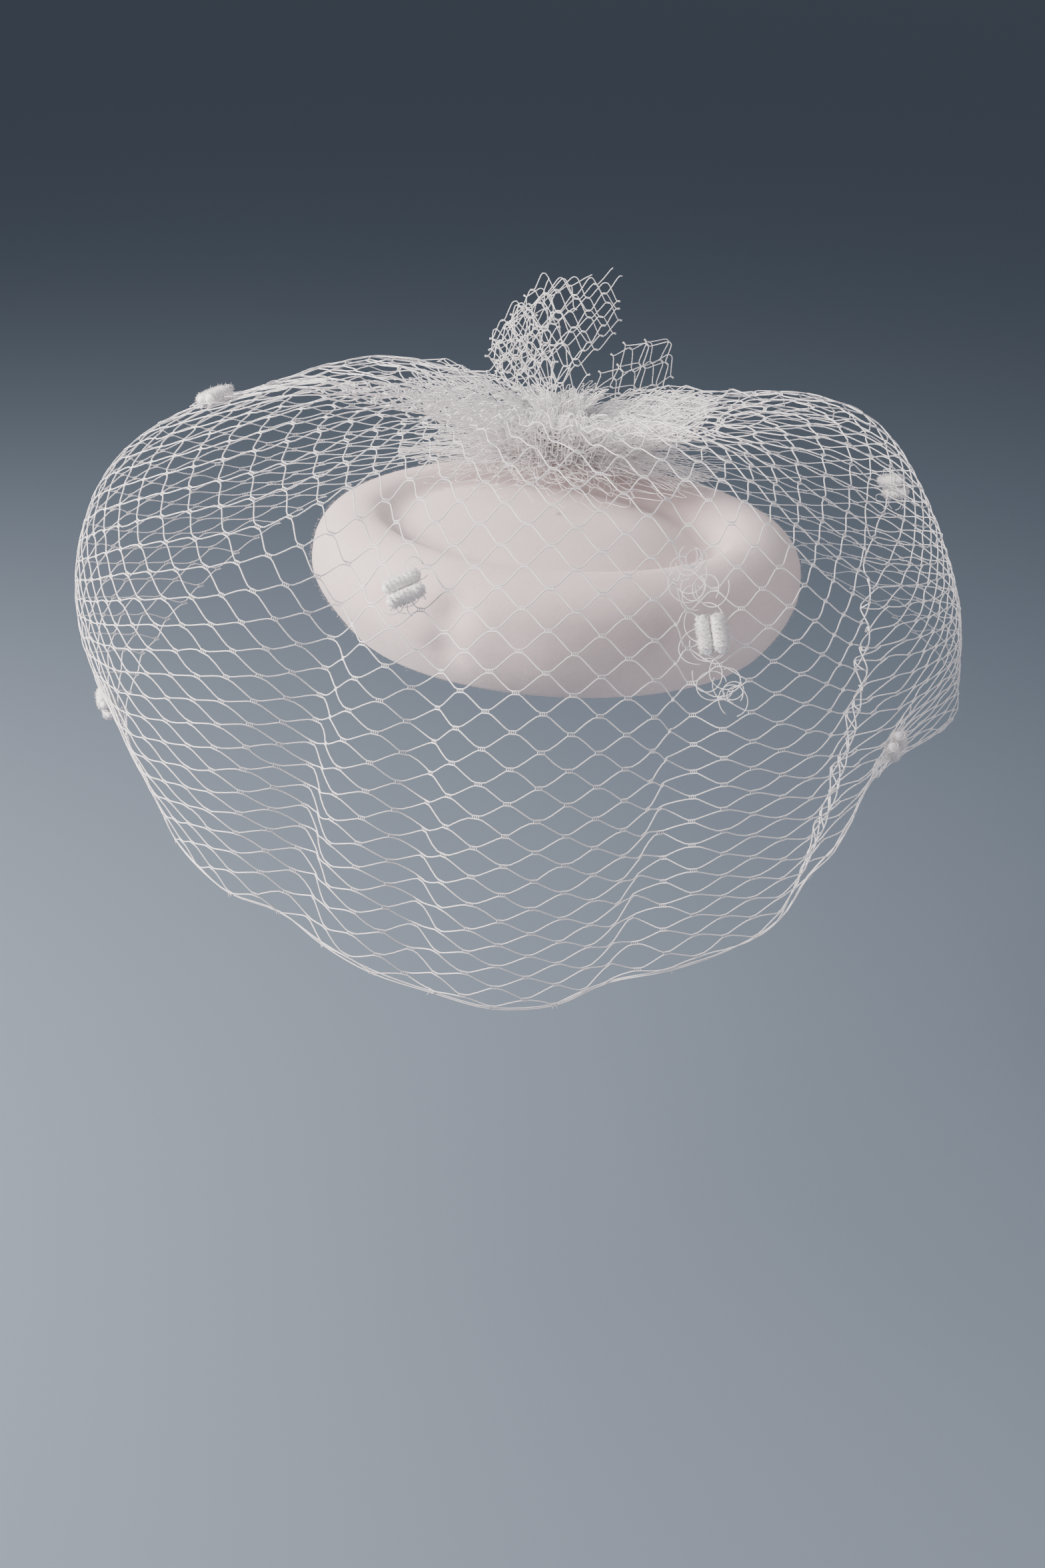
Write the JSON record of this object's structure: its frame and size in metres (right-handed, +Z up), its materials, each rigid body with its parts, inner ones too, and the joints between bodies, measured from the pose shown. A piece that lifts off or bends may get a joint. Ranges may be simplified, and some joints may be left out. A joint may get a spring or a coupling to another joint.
{
  "type": "pillbox hat with birdcage veil",
  "caption": "Felt pillbox hat with a rolled ring and low domed tip, and a birdcage veil of stiff net with chenille dots, gathered at the back.",
  "frame": {"origin": "centre of the head opening, in the plane of the felt's lower edge, where the hat sits on a head", "axes": "+Z up out of the crown, -Y to the hat's front, +X to the right as seen from the front"},
  "size_m": [0.3067, 0.2352, 0.1851],
  "materials": {
    "felt": "matte ivory wool felt",
    "net": "stiff white knotted net, slight sheen",
    "chenille": "soft white cut-pile chenille"
  },
  "bodies": {
    "root": {"felt_body": "felt", "veil": "net", "net_gather": "net", "net_tail_upper": "net", "net_tail_lower": "net", "chenille_dot_1": "chenille", "chenille_dot_2": "chenille", "chenille_dot_3": "chenille", "chenille_dot_4": "chenille", "chenille_dot_5": "chenille", "chenille_dot_6": "chenille"}
  },
  "joints": []
}
